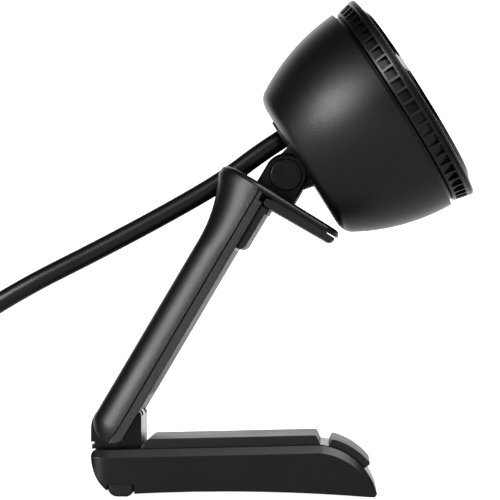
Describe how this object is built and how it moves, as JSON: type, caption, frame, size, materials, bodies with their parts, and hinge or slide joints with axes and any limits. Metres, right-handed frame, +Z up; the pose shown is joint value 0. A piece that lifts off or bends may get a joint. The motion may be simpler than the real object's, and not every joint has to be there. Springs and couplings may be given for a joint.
{
  "type": "webcam on tripod",
  "caption": "Bowl-shaped webcam on a folding clip stand with rubber pads, a tilting head, a ring-light dial and a coiled USB lead.",
  "frame": {"origin": "on the surface it stands on, under the middle of the stand and head without the lead", "axes": "+X where the webcam faces, +Z up, Y across; the stand and head are symmetric about Y = 0"},
  "size_m": [0.2495, 0.076, 0.1315],
  "materials": {
    "casing_plastic": "fine matte",
    "stand_plastic": "fine matte",
    "dial_plastic": "satin",
    "gloss_black": "gloss",
    "bracket_metal": "satin black paint",
    "pad_rubber": "matte",
    "lead_jacket": "satin",
    "gland_rubber": "satin",
    "grip_plastic": "satin",
    "tie_fabric": "woven",
    "plug_steel": "satin",
    "contact_plastic": "matte",
    "screw_steel": "satin",
    "magnet_nickel": "plated",
    "can_steel": "satin",
    "weight_iron": "zinc plated",
    "sink_aluminium": "satin",
    "standoff_brass": "satin",
    "coil_copper": "enamelled",
    "board_laminate": "solder mask",
    "chip_epoxy": "matte",
    "connector_nylon": "matte",
    "washer_nylon": "matte",
    "barrel_black": "matte",
    "sensor_glass": "gloss",
    "filter_glass": "gloss",
    "lens_glass": "coated",
    "window_glass": "gloss",
    "reflector_white": "satin",
    "diffuser_opal": "satin",
    "led_resin": "gloss"
  },
  "bodies": {
    "arm": {"arm_shell": "stand_plastic", "arm_cover": "stand_plastic", "arm_screws": "screw_steel", "arm_pad": "pad_rubber", "corner_pad": "pad_rubber", "plate_pad": "pad_rubber", "hinge_bracket": "bracket_metal", "bracket_screws": "screw_steel", "tilt_pin": "screw_steel", "tilt_nut": "screw_steel", "tilt_washers": "washer_nylon", "hinge_caps": "stand_plastic", "fold_pin": "screw_steel", "fold_washers": "washer_nylon", "cord_lead": "lead_jacket", "cord_tail": "lead_jacket", "cord_coil": "lead_jacket", "coil_tie": "tie_fabric", "usb_grip": "grip_plastic", "usb_shell": "plug_steel", "usb_tongue": "contact_plastic"},
    "head": {"rear_shell": "casing_plastic", "tilt_neck": "casing_plastic", "neck_screws": "screw_steel", "cord_grommet": "gland_rubber", "cord_stub": "lead_jacket", "main_board": "board_laminate", "board_chips": "chip_epoxy", "cord_connector": "connector_nylon", "heat_sink": "sink_aluminium", "sensor_board": "board_laminate", "image_sensor": "sensor_glass", "ir_filter": "filter_glass", "standoffs": "standoff_brass", "focus_housing": "can_steel", "focus_magnets": "magnet_nickel", "mid_frame": "casing_plastic", "case_screws": "screw_steel", "led_board": "board_laminate", "ring_leds": "led_resin", "light_reflector": "reflector_white", "light_diffuser": "diffuser_opal", "lens_bezel": "gloss_black", "lens_window": "window_glass", "microphones": "can_steel", "front_trim_ring": "gloss_black"},
    "dial": {"dial_ring": "dial_plastic", "dial_magnet": "magnet_nickel"},
    "lens": {"lens_barrel": "barrel_black", "lens_elements": "lens_glass", "focus_coil": "coil_copper"},
    "foot": {"foot_shell": "stand_plastic", "foot_cover": "stand_plastic", "foot_pad": "pad_rubber", "toe_pad": "pad_rubber", "foot_weight": "weight_iron", "hinge_block": "bracket_metal", "block_screws": "screw_steel", "heel_bumper": "pad_rubber", "tripod_insert": "standoff_brass"}
  },
  "joints": [
    {"name": "foot_fold", "type": "hinge", "parent": "arm", "child": "foot", "pos_m": [-0.0433, 0, 0.0176], "axis": [0, 1, 0], "range_deg": [-54, 40]},
    {"name": "head_tilt", "type": "hinge", "parent": "arm", "child": "head", "pos_m": [0.00102, 0, 0.08468], "axis": [0, 1, 0], "range_deg": [-30, 3], "deforming": ["cord_lead"]},
    {"name": "dial_turn", "type": "hinge", "parent": "head", "child": "dial", "pos_m": [0.03009, 0, 0.10289], "axis": [0.8475, 0, 0.5308], "range_deg": [0, 90]},
    {"name": "focus_slide", "type": "slide", "parent": "head", "child": "lens", "axis": [0.8475, 0, 0.5308], "range_m": [0, 0.0003], "stiffness_N_per_m": 150}
  ]
}
